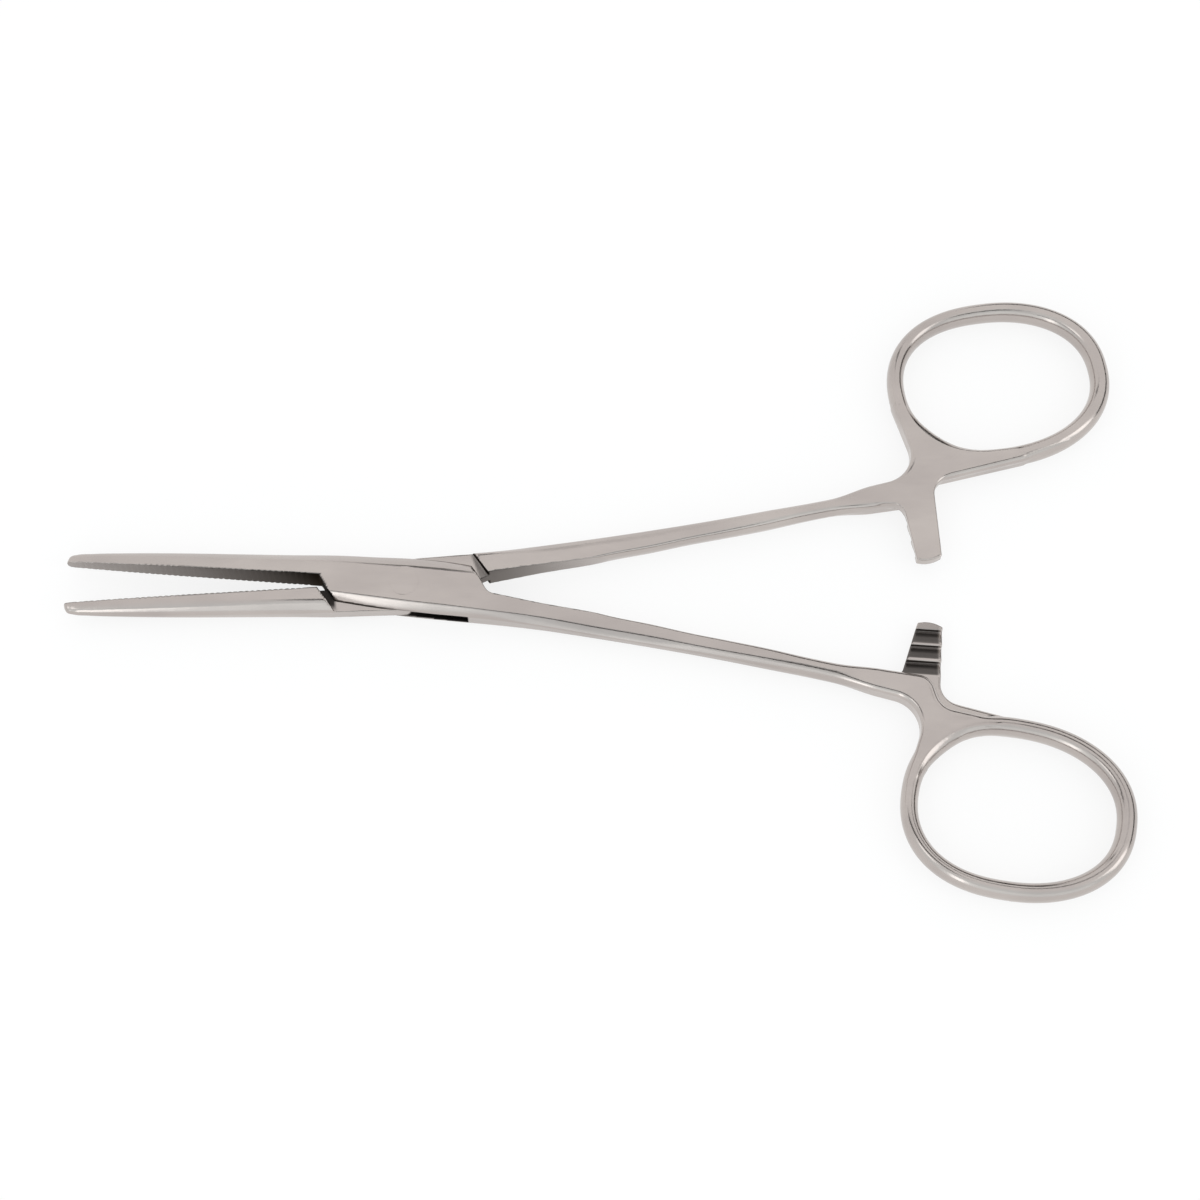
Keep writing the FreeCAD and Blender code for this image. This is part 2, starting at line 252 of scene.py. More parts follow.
# Looks of the steel. The pattern scales are in 1/m: polishing lines 0.12 mm apart and 6 mm long,
# and changes of the tone some 7 mm across and 17 mm long
LINE_SCALE = (160.0, 8000.0, 8000.0)
CLOUD_SCALE = (60.0, 150.0, 150.0)
CLOUD_COLOUR = "#B2AAA6"
# Grazing shine of the cut faces, dimmed to paint shade on them
CUT_SHADE_EDGE_TINT = "#A8A5A2"
NOISE_LOW, NOISE_HIGH = 0.3, 0.7
POLISHED_ROUGHNESS = (0.17, 0.23)
CUT_ROUGHNESS = 0.42
LINE_BUMP_STRENGTH = 0.1
LINE_DEPTH = 0.00002

# Studio
SENSOR_WIDTH = 36.0
CLIP_START = 0.01
FLOOR_GLOW = 0.8
FLOOR_ROUGHNESS = 0.9
FELT_COLOUR = "#151515"
FELT_ROUGHNESS = 0.95
FRONT_SKY_COLOUR = "#F6FDFF"
FRONT_SKY_Y = (-0.8, 0.0)

# Soft boxes: name, place, point they face, size, power
LAMPS = [
    ("front_strip", (0.05, -0.9, 0.26), (0.02, 0, 0), (1.6, 0.48), 0.40),
    ("left_strip", (-0.29, -0.8, 0.26), (0.02, 0, 0), (0.14, 0.50), 0.30),
    ("front_left_box", (-0.55, -0.38, 0.66), (0.04, 0, 0), (0.34, 0.34), 0.30),
    ("front_right_box", (0.75, -0.25, 0.45), (0.04, 0, 0), (0.30, 0.60), 0.60),
]

# Dark cards by name, as their corners. The near ones draw thin lines: along the lower shank, on the
# upper web and along the box. The far walls darken the sides of the rings.
CARDS = {
    "overhead_card": [(-0.024, -0.026, 0.06), (0.068, -0.052, 0.06), (0.068, -0.035, 0.06),
                      (-0.024, -0.009, 0.06)],
    "web_card": [(0.088, -0.012, 0.06), (0.106, -0.012, 0.06), (0.106, 0.008, 0.06),
                 (0.088, 0.008, 0.06)],
    "back_card": [(-0.012, 0.12, 0.045), (0.011, 0.12, 0.045), (0.011, 0.12, 0.14),
                  (-0.012, 0.12, 0.14)],
    "back_wall": [(0.15, 1.2, 0.01), (1.5, 1.2, 0.01), (1.5, 1.2, 0.45), (0.15, 1.2, 0.45)],
    "right_wall": [(1.5, -0.2, 0.01), (1.5, 1.2, 0.01), (1.5, 1.2, 0.45), (1.5, -0.2, 0.45)],
}


def smooth_max(a, b, k):
    """The larger of two fields, with their meeting edge rounded over a width k."""
    return np.maximum(a, b) + np.maximum(k - np.abs(a - b), 0.0) ** 2 / (4 * k)


def smooth_min(a, b, k):
    """The smaller of two fields, with their meeting corner filled over a width k."""
    return np.minimum(a, b) - np.maximum(k - np.abs(a - b), 0.0) ** 2 / (4 * k)


def smooth_step(x, start, end):
    """0 before start, 1 after end, and 3t2 - 2t3 between them."""
    t = np.clip((x - start) / (end - start), 0.0, 1.0)
    return t * t * (3 - 2 * t)


def flow(x, stations, values):
    """Cubic curve through a table, with the slope at each station taken from its neighbours."""
    slopes = np.gradient(values, stations)
    x = np.clip(x, stations[0], stations[-1])
    index = np.clip(np.searchsorted(stations, x) - 1, 0, len(stations) - 2)
    width = stations[index + 1] - stations[index]
    t = (x - stations[index]) / width
    a = 2 * t**3 - 3 * t**2 + 1
    b = t**3 - 2 * t**2 + t
    c = 3 * t**2 - 2 * t**3
    d = t**3 - t**2
    return (a * values[index] + b * width * slopes[index]
            + c * values[index + 1] + d * width * slopes[index + 1])


def plan_distance(u, v, outline):
    """Distance in a plane to a closed outline of straight runs, negative inside it."""
    best = np.full(np.broadcast(u, v).shape, 1e9)
    inside = np.zeros(best.shape, bool)
    outline = np.asarray(outline, float)
    for (ax, ay), (bx, by) in zip(outline, np.roll(outline, -1, axis=0)):
        ex, ey = bx - ax, by - ay
        length = ex * ex + ey * ey
        if length < 1e-12:
            continue
        t = np.clip(((u - ax) * ex + (v - ay) * ey) / length, 0.0, 1.0)
        best = np.minimum(best, (u - ax - t * ex) ** 2 + (v - ay - t * ey) ** 2)
        if ay != by:
            inside ^= ((ay > v) != (by > v)) & (u < ax + (v - ay) * ex / ey)
    return np.where(inside, -1.0, 1.0) * np.sqrt(best)


def rounded(corners, steps=20):
    """Outline through (x, y) or (x, y, radius), with each radius as a tangent arc of short runs."""
    outline = []
    for index, corner in enumerate(corners):
        point = np.array(corner[:2], float)
        if len(corner) == 2:
            outline.append(point)
            continue
        back = np.array(corners[index - 1][:2]) - point
        ahead = np.array(corners[(index + 1) % len(corners)][:2]) - point
        back /= np.hypot(*back)
        ahead /= np.hypot(*ahead)
        half_corner = math.acos(np.clip(back @ ahead, -1, 1)) / 2
        bisector = (back + ahead) / np.hypot(*(back + ahead))
        hub = point + bisector * corner[2] / math.sin(half_corner)
        first = point + back * corner[2] / math.tan(half_corner) - hub
        last = point + ahead * corner[2] / math.tan(half_corner) - hub
        turn = math.atan2(first[0] * last[1] - first[1] * last[0], first @ last)
        for share in np.linspace(0, 1, steps):
            c, s = math.cos(turn * share), math.sin(turn * share)
            turned = (c * first[0] - s * first[1], s * first[0] + c * first[1])
            outline.append(hub + np.array(turned))
    return np.array(outline)


def plate_field(plan, z, half, radius):
    """Flat plate of a plan outline, with both rims rounded to a radius."""
    a = plan + radius
    b = np.abs(z) - half + radius
    outer = np.sqrt(np.maximum(a, 0) ** 2 + np.maximum(b, 0) ** 2)
    return np.minimum(np.maximum(a, b), 0.0) + outer - radius


def along(point, angle, distance):
    """Plan point at a distance from another, in a direction given in degrees."""
    turn = math.radians(angle)
    return (point[0] + distance * math.cos(turn), point[1] + distance * math.sin(turn))


def line_ends(start, end, before, after):
    """The same line made longer at each end."""
    start, end = np.array(start, float), np.array(end, float)
    unit = (end - start) / np.hypot(*(end - start))
    return start - unit * before, end + unit * after


def grip_line(x):
    """Height of the gripping face, a hair at the tip and more at the root."""
    share = (x - TIP_X) / (JAW_ROOT_X - TIP_X)
    return TIP_GAP + share * (JAW_ROOT_GAP - TIP_GAP)


def serrated_edge(shift):
    """Plan points of the gripping face from tip to root, with one notch for each groove."""
    points = [(TIP_X - REACH, grip_line(TIP_X))]
    x = FIRST_GROOVE_X + shift * GROOVE_PITCH
    while x + GROOVE_WIDTH < JAW_ROOT_X - GROOVE_END_LAND:
        bottom = x + GROOVE_WIDTH / 2
        points.append((x, grip_line(x)))
        share = min(1.0, (bottom - TIP_X) / (JAW_ROOT_X - TIP_X))
        depth = GROOVE_DEPTH * (GROOVE_TIP_SHARE + (1 - GROOVE_TIP_SHARE) * share)
        points.append((bottom, grip_line(bottom) + depth))
        points.append((x + GROOVE_WIDTH, grip_line(x + GROOVE_WIDTH)))
        x += GROOVE_PITCH
    return points


def ring_line(centre):
    """Centre line of the ring: a slightly square, slightly egg-shaped ellipse, and its turns."""
    turn = np.linspace(0, 2 * np.pi, RING_POINTS, endpoint=False)
    c, s = np.cos(turn), np.sin(turn)
    power = 2 / RING_SQUARENESS
    a = RING_HALF_LENGTH * np.sign(c) * np.abs(c) ** power
    b = RING_HALF_BREADTH * np.sign(s) * np.abs(s) ** power * (1 + RING_TAPER * c)
    tilt = math.radians(RING_TILT)
    x = centre[0] + a * math.cos(tilt) - b * math.sin(tilt)
    y = centre[1] + a * math.sin(tilt) + b * math.cos(tilt)
    return np.stack([x, y], 1), turn


def ring_place(x, y, centre):
    """Distance outward from the ring's centre line, and the turn of the nearest point of it."""
    line, turn = ring_line(centre)
    outward = plan_distance(x, y, line)
    nearest = np.full(outward.shape, 1e9)
    place = np.zeros(outward.shape)
    for (px, py), t in zip(line, turn):
        away = (x - px) ** 2 + (y - py) ** 2
        place = np.where(away < nearest, t, place)
        nearest = np.minimum(nearest, away)
    return outward, place


def bevel_field(out, up, width, rise):
    """Bevel that starts at the flat's edge and falls by rise over width, a little crowned."""
    length = np.hypot(width, rise)
    place = (out * width - up * rise) / length**2
    crown = BEVEL_CROWN * length * np.maximum(0.0, 4 * place * (1 - place))
    return (out * rise + up * width) / length - crown


def skin_field(x, y, z, slimmer):
    """Octagon section carried along X: flat front and back, bevels and two sides, edges rounded."""
    table = SECTIONS.copy()
    table[BOX_ROWS, 4] += slimmer
    upper, upper_flat, lower_flat, lower, half, side, edge = (
        flow(x, table[:, 0], table[:, column]) for column in range(1, 8))
    edge = edge * (1 + MALE_EDGE_SOFTER * (slimmer > 0))
    height = np.abs(z)
    top = bevel_field(y - upper_flat, height - half, upper - upper_flat, half - side)
    bottom = bevel_field(lower_flat - y, height - half, lower_flat - lower, half - side)
    field = smooth_max(y - upper, lower - y, edge)
    field = smooth_max(field, height - half, edge)
    field = smooth_max(field, top, edge)
    field = smooth_max(field, bottom, edge)
    return smooth_max(field, TIP_X + TIP_SETBACK - x, TIP_ROUNDING)


def tooth_profile(bar_reach):
    """Side view of what the cutter takes out of the bar, as (y, height) points."""
    points = []
    for index in range(TOOTH_COUNT):
        start = bar_reach - BAR_END_LAND - index * TOOTH_PITCH
        points.append((start, REACH if index == 0 else BAR_TOP))
        points.append((start, BAR_TOP - TOOTH_DEPTH))
        points.append((start - TOOTH_FLOOR, BAR_TOP - TOOTH_DEPTH))
        points.append((start - TOOTH_PITCH + TOOTH_CREST, BAR_TOP))
    points.append((points[-1][0], REACH))
    return points


def handle_field(x, y, z, half):
    """Web, finger ring and ratchet bar, run together with small fillets."""
    web_plan = rounded(WEB_UPPER_EDGE + half["web_foot"] + WEB_LOWER_EDGE)
    bar_end = [(end_x, half["bar_reach"] + past, radius) for end_x, past, radius in BAR_END]
    bar_plan = rounded(BAR_SHANK_SIDE + [half["bar_root"]] + bar_end + BAR_FOOT)
    outward, turn = ring_place(x, y, half["ring"])
    web = plate_field(plan_distance(x, y, web_plan), z, WEB_HALF_HEIGHT, WEB_EDGE_RADIUS)
    web = smooth_max(web, -outward - WEB_OVER_RING, WEB_OVER_RING_EDGE)
    flare_share = np.maximum(0.0, np.cos(turn - math.radians(RING_FLARE_TURN)))
    flare = RING_FLARE * flare_share ** RING_FLARE_POWER
    width = RING_WIDTH_NEAR + (RING_WIDTH_FAR - RING_WIDTH_NEAR) * (1 + np.cos(turn)) / 2 + flare
    across = (outward + flare / 2) / (width / 2)
    rise = z / RING_HALF_HEIGHT
    far = np.sqrt(across**2 + rise**2)
    near = np.sqrt((across / (width / 2)) ** 2 + (rise / RING_HALF_HEIGHT) ** 2)
    ring = far * (far - 1) / np.maximum(near, 1e-6)
    bar_middle = (BAR_TOP - WEB_HALF_HEIGHT) / 2
    bar_half = (BAR_TOP + WEB_HALF_HEIGHT) / 2
    bar_rim = BAR_RIM + BAR_FOOT_RIM * smooth_step(x, *BAR_FOOT_RIM_X)
    bar = plate_field(plan_distance(x, y, bar_plan), z - bar_middle, bar_half, bar_rim)
    teeth = plan_distance(y, z, tooth_profile(half["bar_reach"]))
    bar = smooth_max(bar, -teeth, TOOTH_EDGE)
    body = np.maximum(smooth_min(web, bar, WEB_BAR_FILLET), np.abs(z) - WEB_HALF_HEIGHT)
    return smooth_min(body, ring, WEB_RING_FILLET)


def slot_wall():
    """Two plan points of the wall that closes the slot towards the jaw, at its two ends."""
    stop = math.tan(math.radians(OPEN_ANGLE + STOP_MARGIN_ANGLE) / 2)
    return (JAW_ROOT_X + SLOT_WALL_INSET, JAW_ROOT_GAP), (-TONGUE_EDGE_Y * stop, TONGUE_EDGE_Y)


def female_cuts(x, y, z):
    """What is cut from the half with the cheeks: jaw side, shank side, slot and the pin's bore."""
    jaw_side = serrated_edge(HALVES["female_half"]["shift"])
    jaw_side.append((JAW_ROOT_X, JAW_ROOT_GAP))
    jaw_side.append(along(jaw_side[-1], -FEMALE_END_LEAN, REACH))
    jaw_side.append((TIP_X - REACH, -REACH))
    shank_side = rounded([
        along(SHANK_ROOT, 180 - CHEEK_END_LEAN, REACH), (*SHANK_ROOT, SHANK_CROTCH_RADIUS),
    ] + SHANK_WALL + [(SHANK_WALL[-1][0], REACH)])
    wall_low, wall_high = line_ends(*slot_wall(), REACH / 2, REACH / 2)
    mouth_low, mouth_high = line_ends((SLOT_MOUTH_X, SLOT_MOUTH_Y), SHANK_ROOT,
                                      REACH / 2, REACH / 2)
    slot = [
        wall_low, wall_high, (mouth_high[0], wall_high[1]), mouth_high, mouth_low,
        (wall_low[0], mouth_low[1]),
    ]
    slot_field = np.maximum(plan_distance(x, y, slot),
                            np.abs(z) - TONGUE_HALF_HEIGHT - TONGUE_SIDE_GAP)
    radius = np.hypot(x, y)
    cone = PIN_RADIUS + (PIN_HEAD_RADIUS - PIN_RADIUS) * np.maximum(
        0.0, 1 - (MIDDLE - np.abs(z)) / PIN_HEAD_DEPTH)
    return [
        (plan_distance(x, y, jaw_side), GROOVE_EDGE), (plan_distance(x, y, shank_side), LOCK_EDGE),
        (slot_field, LOCK_EDGE), (radius - cone, BORE_EDGE),
    ]


def recess_corners():
    """Lower plan points of the lines that end the recess, towards the jaw and the shank."""
    left = along((JAW_ROOT_X - LEFT_SHOULDER_GAP, -JAW_ROOT_GAP), CHEEK_END_LEAN, -REACH / 2)
    right = along((SHANK_ROOT[0] + RIGHT_SHOULDER_GAP, -SHANK_ROOT[1]), CHEEK_END_LEAN, -REACH)
    return left, right


def recess_ends(x, y):
    """Distance in plan from the nearer of the two lines that end the recess."""
    turn = math.radians(CHEEK_END_LEAN)
    away = [np.abs((x - px) * math.sin(turn) - (y - py) * math.cos(turn))
            for px, py in recess_corners()]
    return np.minimum(*away)


def male_cuts(x, y, z):
    """What is cut from the half with the tongue: jaw side, heel, both recesses and the bore."""
    low, high = slot_wall()
    start, end = np.array((low[0], -low[1])), np.array((high[0], -high[1]))
    unit = (end - start) / np.hypot(*(end - start))
    side = np.array((unit[1], -unit[0])) * -TONGUE_END_GAP
    edge_low, edge_high = line_ends(start + side, end + side, 0.0, REACH / 2)
    jaw_side = serrated_edge(HALVES["male_half"]["shift"])
    slope = (edge_high[1] - edge_low[1]) / (edge_high[0] - edge_low[0])
    jaw_side.append((edge_low[0] + (JAW_ROOT_GAP - edge_low[1]) / slope, JAW_ROOT_GAP))
    jaw_side += [edge_high, (TIP_X - REACH, edge_high[1])]
    heel_low, heel_high = line_ends(
        (0.0, TONGUE_EDGE_Y), (SHANK_ROOT[0] + HEEL_INSET, SHANK_ROOT[1]), REACH / 2, 0.0)
    shank_side = [heel_low, heel_high] + SHANK_WALL + [(SHANK_WALL[-1][0], REACH)]
    left, right = recess_corners()
    band = [left, along(left, CHEEK_END_LEAN, 2 * REACH),
            along(right, CHEEK_END_LEAN, 2 * REACH), right]
    recess = np.maximum(plan_distance(x, y, band), TONGUE_HALF_HEIGHT - np.abs(z))
    bore = np.hypot(x, y) - PIN_RADIUS - RUNNING_GAP
    return [
        (plan_distance(x, y, jaw_side), GROOVE_EDGE), (plan_distance(x, y, shank_side), LOCK_EDGE),
        (recess, LOCK_EDGE), (bore, BORE_EDGE),
    ]


def half_field(name, x, y, z):
    """Signed field of one half at points of about the same x: below 0 is steel."""
    half = HALVES[name]
    slimmer = 0.0 if half["cheeks"] else MALE_BOX_SLIMMER
    if x.min() > HANDLE_FULL:
        return handle_field(x, y, z, half)
    field = skin_field(x, y, z, slimmer)
    if x.max() > HANDLE_START:
        handle = handle_field(x, y, z, half)
        share = smooth_step(x, HANDLE_START, HANDLE_FULL)
        return field * (1 - share) + handle * share
    if x.min() < CUTS_END_X:
        cuts = female_cuts(x, y, z) if half["cheeks"] else male_cuts(x, y, z)
        for cut, edge in cuts:
            field = smooth_max(field, -cut, edge)
    return field


def steps(stretches):
    """Grid lines from stretches of even steps."""
    lines = [np.array([stretches[0][0]])]
    for (start, _), (end, step) in zip(stretches, stretches[1:]):
        count = int(round((end - start) / step))
        lines.append(np.linspace(start, end, count + 1)[1:])
    return np.concatenate(lines)


def sampled(name, xs, ys, zs):
    """Field on the whole grid, worked out zone by zone along the half."""
    values = np.ones((len(xs), len(ys), len(zs)))
    for (start, end), (low, high) in zip(ZONES, ZONE_Y):
        i = np.nonzero((xs > start) & (xs <= end))[0]
        j = np.nonzero((ys > low) & (ys < high))[0]
        block = half_field(name, xs[i][:, None, None], ys[j][None, :, None], zs[None, None, :])
        values[i[0]:i[-1] + 1, j[0]:j[-1] + 1] = block
    return values


def at_points(name, points):
    """Field at loose points, zone by zone."""
    values = np.ones(len(points))
    for start, end in ZONES:
        here = (points[:, 0] > start) & (points[:, 0] <= end)
        if here.any():
            values[here] = half_field(name, *points[here].T)
    return values


def normals_at(name, points):
    """Unit slope of the field at points, from samples at the four corners of a tiny tetrahedron."""
    corners = np.array([(1, -1, -1), (-1, -1, 1), (-1, 1, -1), (1, 1, 1)], float)
    slope = np.zeros_like(points)
    for corner in corners:
        slope += corner * at_points(name, points + corner * SLOPE_STEP)[:, None]
    return slope / np.maximum(np.linalg.norm(slope, axis=1), 1e-12)[:, None]


def contour(name):
    """Skin of the field as quads. Each grid cell that the skin passes through gets one vertex, at
    the point that lies nearest to all the tangent planes where the skin crosses the cell's edges,
    so flat faces stay flat and sharp edges stay sharp."""
    grid = (steps(STEPS_X), steps(STEPS_Y), steps(STEPS_Z))
    values = sampled(name, *grid)
    inside = values < 0
    cells_shape = tuple(n - 1 for n in values.shape)
    crossings, rings = [], []
    for axis in range(3):
        lower, upper = [slice(None)] * 3, [slice(None)] * 3
        lower[axis], upper[axis] = slice(0, -1), slice(1, None)
        lower, upper = tuple(lower), tuple(upper)
        crossing = inside[lower] != inside[upper]
        index = np.argwhere(crossing)
        a, b = values[lower][crossing], values[upper][crossing]
        point = np.stack([grid[k][index[:, k]] for k in range(3)], 1)
        gap = grid[axis][index[:, axis] + 1] - grid[axis][index[:, axis]]
        point[:, axis] += gap * a / (a - b)
        u, v = (axis + 1) % 3, (axis + 2) % 3
        ring = []
        for du, dv in ((0, 0), (-1, 0), (-1, -1), (0, -1)):
            cell = index.copy()
            cell[:, u] += du
            cell[:, v] += dv
            ring.append(np.ravel_multi_index(tuple(cell.T), cells_shape))
        ring = np.stack(ring, 1)
        facing = inside[lower][crossing]
        rings.append(np.where(facing[:, None], ring, ring[:, ::-1]))
        crossings.append(point)
    points = np.concatenate(crossings)
    rings = np.concatenate(rings)
    normals = normals_at(name, points)
    cells, quads = np.unique(rings, return_inverse=True)
    quads = quads.reshape(rings.shape)
    owner = quads.reshape(-1)
    point = np.repeat(points, 4, axis=0)
    normal = np.repeat(normals, 4, axis=0)
    count = np.bincount(owner)

    def gather(weights):
        """Sum of the weights over the crossings of each cell."""
        return np.bincount(owner, weights, minlength=len(cells))

    mean = np.stack([gather(point[:, k]) for k in range(3)], 1) / count[:, None]
    plane = np.einsum("ij,ij->i", normal, point - mean[owner])
    matrix = np.zeros((len(cells), 3, 3))
    for r in range(3):
        for c in range(3):
            matrix[:, r, c] = gather(normal[:, r] * normal[:, c])
        matrix[:, r, r] += PULL_TO_MEAN * count
    right = np.stack([gather(normal[:, k] * plane) for k in range(3)], 1)
    shift = np.linalg.solve(matrix, right[:, :, None])[:, :, 0]
    vertices = mean + shift
    place = np.unravel_index(cells, cells_shape)
    for k in range(3):
        vertices[:, k] = np.clip(vertices[:, k], grid[k][place[k]], grid[k][place[k] + 1])
    return vertices, quads


def in_part_frame(vertices, name):
    """From the half's own closed frame to the part's frame at rest, in metres."""
    x, y, z = vertices.T
    turn = math.radians(-REST_HALF_ANGLE)
    if not HALVES[name]["cheeks"]:
        y, z, turn = -y, -z, -turn
    c, s = math.cos(turn), math.sin(turn)
    height = np.clip(z + MIDDLE, 0.0, THICKNESS)
    return np.stack([c * x - s * y, s * x + c * y, height], 1) * MM


def lock_shade_marks(half, x, y, z, cuts):
    """Cut look and painted shade in the box lock: full on the slot, the recess walls and the
    shoulders, and gone where those faces are to look lit and polished."""
    below = np.abs(z) < MIDDLE - SKIN_BAND
    marks = (below & (np.abs(cuts[2][0]) < FACE_BAND)).astype(float)
    if half["cheeks"]:
        # Painted shade in the slot, seen through its window in the lower side, darkest towards the
        # jaw
        side = flow(x, SECTIONS[:, 0], SECTIONS[:, 4]) + WINDOW_OVER_SIDE
        window = (x > WINDOW_X[0]) & (x < WINDOW_X[1]) & (y < side)
        window &= np.abs(z) < WINDOW_HALF_HEIGHT
        fade = WINDOW_SHADE * (1 - smooth_step(x, *WINDOW_FADE_X))
        marks = np.where(window, fade, marks)
    else:
        # How far the painted shade reaches from the lines that end the recess: a wedge at the shank
        # that widens with y, and one at the jaw that narrows with y
        shank_wedge = 0.1 + 0.3 * np.clip(y + 4.0, 0.0, 5.0)
        jaw_wedge = 1.6 - 0.45 * np.clip(y - 0.3, 0.0, 2.4)
        wedge = np.where(x > 0, shank_wedge, jaw_wedge)
        marks *= 1 - smooth_step(recess_ends(x, y), wedge - RECESS_FADE, wedge + RECESS_FADE)
        # Less painted shade on the tongue's end
        tongue = (x > 0) & (np.abs(z) < TONGUE_HALF_HEIGHT + TONGUE_SIDE_GAP)
        marks *= np.where(tongue, TONGUE_END_SHADE, 1.0)
        marks *= np.where(x < 0, 1 - smooth_step(y, *RECESS_TOP_FADE_Y), 1.0)
    # Full painted shade on the cut faces at the jaw's root
    jaw_root = (np.abs(x) < -JAW_ROOT_X) & below & (np.abs(cuts[0][0]) < FACE_BAND)
    marks = np.where(jaw_root, 1.0, marks)
    return np.where(np.abs(x) < LOCK_END_X, marks, 0.0)


def ratchet_shade_marks(half, x, y, z):
    """Cut look and painted shade on the ratchet: teeth darkened by painted shade, and a land at
    the bar's end that is a little duller.
    """
    first_tooth = half["bar_reach"] - BAR_END_LAND
    teeth = (x > TEETH_X) & (z < BAR_TOP - 0.04) & (y < first_tooth + 0.05)
    teeth &= y > first_tooth - TOOTH_COUNT * TOOTH_PITCH
    depth = plan_distance(y, z, tooth_profile(half["bar_reach"]))
    land = (x > LAND_X) & (y > first_tooth) & (np.abs(z - BAR_TOP) < FACE_BAND)
    marks = np.where(land, LAND_CUT, 0.0)
    marks = np.where(teeth & (depth > TEETH_BAND[0]) & (depth < TEETH_BAND[1]), TEETH_CUT_AND_SHADE, marks)
    return marks * (1 - smooth_step(x, *TEETH_FADE_X))


def cut_and_shade_marks(name, vertices):
    """How far each vertex belongs to a face left as the cutter made it, from 0 on the polished skin
    to 1; its darker colour is painted shade as well as a rougher finish. The lock's slot and
    shoulders have 1, the ratchet teeth less, the gripping face less towards the tip, where less
    shade is painted, and the shank's inner wall less further from the lock, as its painted shade
    fades."""
    x, y, z = vertices.T
    half = HALVES[name]
    cuts = female_cuts(x, y, z) if half["cheeks"] else male_cuts(x, y, z)
    marks = ratchet_shade_marks(half, x, y, z)
    # Painted shade on the shank's inner wall, fading away from the lock
    wall = (x > WALL_X) & (x < CUTS_END_X) & (np.abs(cuts[1][0]) < FACE_BAND)
    marks = np.where(wall, WALL_SHADE * (1 - smooth_step(x, *WALL_FADE_X)), marks)
    # Painted shade on the gripping face, lightest at the tip and full at the root
    grip = (x < JAW_ROOT_X + 0.3) & (y < grip_line(x) + GROOVE_DEPTH + FACE_BAND)
    root_shade = np.clip((x - TIP_X) / (JAW_ROOT_X - TIP_X), 0.0, 1.0)
    marks = np.where(grip, GRIP_TIP_SHADE + (1 - GRIP_TIP_SHADE) * root_shade, marks)
    return np.maximum(lock_shade_marks(half, x, y, z, cuts), marks)


def make_object(name, vertices, faces):
    """Object at the origin from a list of corner points and a list of faces."""
    mesh = bpy.data.meshes.new(name)
    mesh.from_pydata(vertices, [], faces)
    mesh.update()
    obj = bpy.data.objects.new(name, mesh)
    bpy.context.scene.collection.objects.link(obj)
    return obj


def lathe(profile, segments):
    """Solid of revolution about Z: a profile of (radius, height) carried round a grid of turns,
    with a single vertex at each pole."""
    turn = np.linspace(0, 2 * np.pi, segments, endpoint=False)
    radius, height = np.array(profile[1:-1], float).T
    x = radius[:, None] * np.cos(turn)
    y = radius[:, None] * np.sin(turn)
    z = np.broadcast_to(height[:, None], x.shape)
    body = np.stack([x, y, z], -1).reshape(-1, 3)
    vertices = np.vstack([body, [(0, 0, profile[0][1]), (0, 0, profile[-1][1])]])
    index = np.arange(len(radius) * segments).reshape(len(radius), segments)
    after = np.roll(index, -1, axis=1)
    quads = np.stack([index[:-1], after[:-1], after[1:], index[1:]], -1).reshape(-1, 4)
    low, high = len(body), len(body) + 1
    bottom = [(low, b, a) for a, b in zip(index[0].tolist(), after[0].tolist())]
    top = [(high, a, b) for a, b in zip(index[-1].tolist(), after[-1].tolist())]
    return vertices, [tuple(q) for q in quads.tolist()] + bottom + top


def linear(colour):
    """sRGB hex colour as a linear colour with full alpha."""
    channels = [int(colour[i:i + 2], 16) / 255 for i in (1, 3, 5)]
    straight = [c / 12.92 if c <= 0.04045 else ((c + 0.055) / 1.055) ** 2.4 for c in channels]
    return (*straight, 1.0)


def add_node(tree, kind, settings=None, inputs=None, links=None):
    """Adds one node with its settings, its input values and what is linked into its inputs."""
    node = tree.nodes.new(kind)
    for key, value in (settings or {}).items():
        setattr(node, key, value)
    for key, value in (inputs or {}).items():
        node.inputs[key].default_value = value
    for key, socket in (links or {}).items():
        tree.links.new(socket, node.inputs[key])
    return node


def empty_material(name):
    """New material with an empty node tree."""
    material = bpy.data.materials.new(name)
    material.use_nodes = True
    material.node_tree.nodes.clear()
    return material, material.node_tree


def stretched_noise(tree, place, scale, detail, roughness):
    """Noise between 0 and 1, with its own scale along each axis of the object."""
    spread = add_node(tree, "ShaderNodeMapping", inputs={"Scale": scale}, links={"Vector": place})
    noise = add_node(tree, "ShaderNodeTexNoise",
                     inputs={"Scale": 1.0, "Detail": detail, "Roughness": roughness},
                     links={"Vector": spread.outputs["Vector"]})
    return noise.outputs["Fac"]


